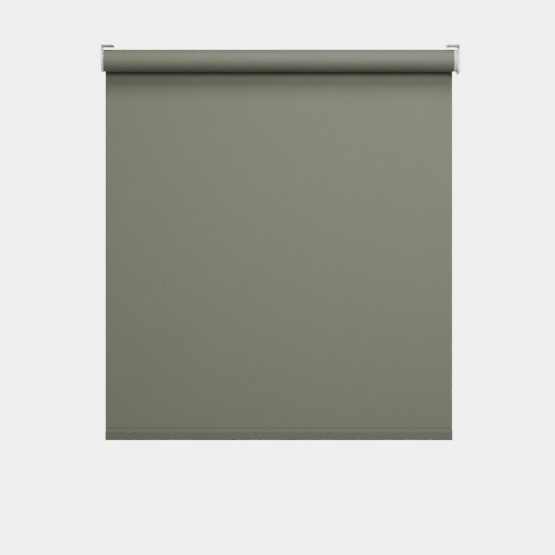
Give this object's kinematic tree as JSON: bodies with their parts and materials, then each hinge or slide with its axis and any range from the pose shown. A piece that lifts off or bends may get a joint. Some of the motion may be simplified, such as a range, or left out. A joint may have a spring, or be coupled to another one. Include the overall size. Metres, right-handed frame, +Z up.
{
  "type": "roller blind",
  "caption": "Motorised roller blind for a window recess: olive-grey fabric on a tube between two top-fixed brackets, with a hem bar in a fabric pocket.",
  "frame": {"origin": "on the recess head, half-way between the recess walls, straight above the roller axis", "axes": "+X along the roller to the motor end, +Y towards the window, +Z up"},
  "size_m": [0.85, 0.056, 0.941],
  "materials": {
    "bracket_paint": "satin powder coat",
    "cover_plastic": "moulded, soft gloss",
    "nylon": "moulded natural nylon",
    "spring_steel": "drawn wire",
    "head_plastic": "moulded, fine texture",
    "crown_plastic": "moulded, fine texture",
    "button_plastic": "moulded",
    "lens_plastic": "clear light guide",
    "port_steel": "drawn shell",
    "flap_rubber": "moulded",
    "zinc_steel": "zinc plated",
    "motor_tube_steel": "drawn and zinc plated",
    "tray_plastic": "moulded",
    "board_laminate": "solder resist",
    "cell_wrap": "shrink wrap",
    "sleeve_film": "insulating film",
    "ferrite": "sintered",
    "bronze": "sintered bronze",
    "lamination_steel": "stamped",
    "copper": "enamelled wire and bare segments",
    "gear_steel": "cut and oiled",
    "gear_nylon": "moulded and greased",
    "roller_aluminium": "extruded, mill finish",
    "adapter_plastic": "glass-filled, moulded",
    "tape": "double-sided film",
    "blind_fabric": "plain weave, coated, olive grey",
    "hem_aluminium": "extruded, mill finish",
    "hem_cap_plastic": "moulded"
  },
  "bodies": {
    "root": {"idle_bracket": "bracket_paint", "drive_bracket": "bracket_paint", "idle_cover": "cover_plastic", "drive_cover": "cover_plastic", "idle_bearing": "nylon", "latch_springs": "spring_steel", "motor_head": "head_plastic", "status_lens": "lens_plastic", "charge_port": "port_steel", "crown_circlip": "zinc_steel", "head_screws": "zinc_steel", "motor_tube": "motor_tube_steel", "board_tray": "tray_plastic", "control_board": "board_laminate", "battery_cells": "cell_wrap", "battery_sleeve": "sleeve_film", "battery_spacers": "tray_plastic", "motor_can": "motor_tube_steel", "motor_magnets": "ferrite", "motor_end_bell": "tray_plastic", "motor_mount": "tray_plastic", "front_bearing": "bronze", "ring_gear": "gear_steel", "output_bush": "bronze", "gearbox_end": "tray_plastic", "fabric_drop": "blind_fabric"},
    "roller": {"crown": "crown_plastic", "roller_tube": "roller_aluminium", "drive_wheel": "adapter_plastic", "wheel_screw": "zinc_steel", "output_carrier": "gear_steel", "fabric_tape": "tape", "fabric_roll": "blind_fabric", "idle_plug": "adapter_plastic", "idle_plug_cap": "adapter_plastic", "idle_pin_spring": "spring_steel"},
    "hem": {"hem_pocket": "blind_fabric", "hem_bar": "hem_aluminium", "hem_cap_idle": "hem_cap_plastic", "hem_cap_drive": "hem_cap_plastic"},
    "rotor": {"armature": "lamination_steel", "windings": "copper", "commutator": "copper", "motor_pinion": "gear_steel"},
    "first_carrier": {"carrier_1": "gear_steel"},
    "second_carrier": {"carrier_2": "gear_steel"},
    "pin": {"idle_pin": "zinc_steel"},
    "button": {"set_button": "button_plastic"},
    "flap": {"port_flap": "flap_rubber"},
    "latch": {"drive_latch": "nylon"},
    "planet_gear_1a": {"planet_1a": "gear_nylon"},
    "planet_gear_1b": {"planet_1b": "gear_nylon"},
    "planet_gear_1c": {"planet_1c": "gear_nylon"},
    "planet_gear_2a": {"planet_2a": "gear_steel"},
    "planet_gear_2b": {"planet_2b": "gear_steel"},
    "planet_gear_2c": {"planet_2c": "gear_steel"},
    "planet_gear_3a": {"planet_3a": "gear_steel"},
    "planet_gear_3b": {"planet_3b": "gear_steel"},
    "planet_gear_3c": {"planet_3c": "gear_steel"}
  },
  "joints": [
    {"name": "roller_spin", "type": "hinge", "parent": "root", "child": "roller", "pos_m": [0, 0, -0.036], "axis": [1, 0, 0], "range_deg": [-424.4, 1824.9]},
    {"name": "hem_slide", "type": "slide", "parent": "root", "child": "hem", "axis": [0, 0, 1], "range_m": [-0.2, 0.86], "deforming": ["fabric_drop"]},
    {"name": "second_carrier_spin", "type": "hinge", "parent": "root", "child": "second_carrier", "pos_m": [0, 0, -0.036], "axis": [1, 0, 0], "range_deg": [-2457.9, 10160.7]},
    {"name": "first_carrier_spin", "type": "hinge", "parent": "root", "child": "first_carrier", "pos_m": [0, 0, -0.036], "axis": [1, 0, 0], "range_deg": [-13518.5, 55883.6]},
    {"name": "rotor_spin", "type": "hinge", "parent": "root", "child": "rotor", "pos_m": [0, 0, -0.036], "axis": [1, 0, 0], "range_deg": [-74351.8, 307360]},
    {"name": "planet_1a_spin", "type": "hinge", "parent": "first_carrier", "child": "planet_gear_1a", "pos_m": [0.031, 0.00825, -0.036], "axis": [1, 0, 0], "range_deg": [-143700.8, 34761.9]},
    {"name": "planet_1b_spin", "type": "hinge", "parent": "first_carrier", "child": "planet_gear_1b", "pos_m": [0.031, -0.00413, -0.02886], "axis": [1, 0, 0], "range_deg": [-143700.8, 34761.9]},
    {"name": "planet_1c_spin", "type": "hinge", "parent": "first_carrier", "child": "planet_gear_1c", "pos_m": [0.031, -0.00413, -0.04314], "axis": [1, 0, 0], "range_deg": [-143700.8, 34761.9]},
    {"name": "planet_2a_spin", "type": "hinge", "parent": "second_carrier", "child": "planet_gear_2a", "pos_m": [0.015, 0.00825, -0.036], "axis": [1, 0, 0], "range_deg": [-26127.4, 6320.3]},
    {"name": "planet_2b_spin", "type": "hinge", "parent": "second_carrier", "child": "planet_gear_2b", "pos_m": [0.015, -0.00413, -0.02886], "axis": [1, 0, 0], "range_deg": [-26127.4, 6320.3]},
    {"name": "planet_2c_spin", "type": "hinge", "parent": "second_carrier", "child": "planet_gear_2c", "pos_m": [0.015, -0.00413, -0.04314], "axis": [1, 0, 0], "range_deg": [-26127.4, 6320.3]},
    {"name": "planet_3a_spin", "type": "hinge", "parent": "roller", "child": "planet_gear_3a", "pos_m": [-0.001, 0.00825, -0.036], "axis": [1, 0, 0], "range_deg": [-4750.4, 1149.2]},
    {"name": "planet_3b_spin", "type": "hinge", "parent": "roller", "child": "planet_gear_3b", "pos_m": [-0.001, -0.00413, -0.02886], "axis": [1, 0, 0], "range_deg": [-4750.4, 1149.2]},
    {"name": "planet_3c_spin", "type": "hinge", "parent": "roller", "child": "planet_gear_3c", "pos_m": [-0.001, -0.00413, -0.04314], "axis": [1, 0, 0], "range_deg": [-4750.4, 1149.2]},
    {"name": "pin_retract", "type": "slide", "parent": "roller", "child": "pin", "axis": [1, 0, 0], "range_m": [0, 0.008], "stiffness_N_per_m": 400, "springref_m": -0.006, "deforming": ["idle_pin_spring"]},
    {"name": "button_press", "type": "slide", "parent": "root", "child": "button", "axis": [0, 0.4695, 0.8829], "range_m": [0, 0.0005], "stiffness_N_per_m": 500, "springref_m": -0.001},
    {"name": "flap_swing", "type": "hinge", "parent": "root", "child": "flap", "pos_m": [0.4163, -0.00066, -0.06247], "axis": [-1, 0, 0], "range_deg": [0, 100]},
    {"name": "latch_release", "type": "slide", "parent": "root", "child": "latch", "axis": [0, 0, -1], "range_m": [0, 0.0045], "stiffness_N_per_m": 300, "springref_m": -0.003, "deforming": ["latch_springs"]}
  ],
  "couplings": [
    {"joint": "hem_slide", "follows": "roller_spin", "m_per_rad": 0.027},
    {"joint": "second_carrier_spin", "follows": "roller_spin", "ratio": 5.5},
    {"joint": "first_carrier_spin", "follows": "roller_spin", "ratio": 30.25},
    {"joint": "rotor_spin", "follows": "roller_spin", "ratio": 166.38},
    {"joint": "planet_1a_spin", "follows": "roller_spin", "ratio": -77.786},
    {"joint": "planet_1b_spin", "follows": "roller_spin", "ratio": -77.786},
    {"joint": "planet_1c_spin", "follows": "roller_spin", "ratio": -77.786},
    {"joint": "planet_2a_spin", "follows": "roller_spin", "ratio": -14.143},
    {"joint": "planet_2b_spin", "follows": "roller_spin", "ratio": -14.143},
    {"joint": "planet_2c_spin", "follows": "roller_spin", "ratio": -14.143},
    {"joint": "planet_3a_spin", "follows": "roller_spin", "ratio": -2.5714},
    {"joint": "planet_3b_spin", "follows": "roller_spin", "ratio": -2.5714},
    {"joint": "planet_3c_spin", "follows": "roller_spin", "ratio": -2.5714}
  ]
}
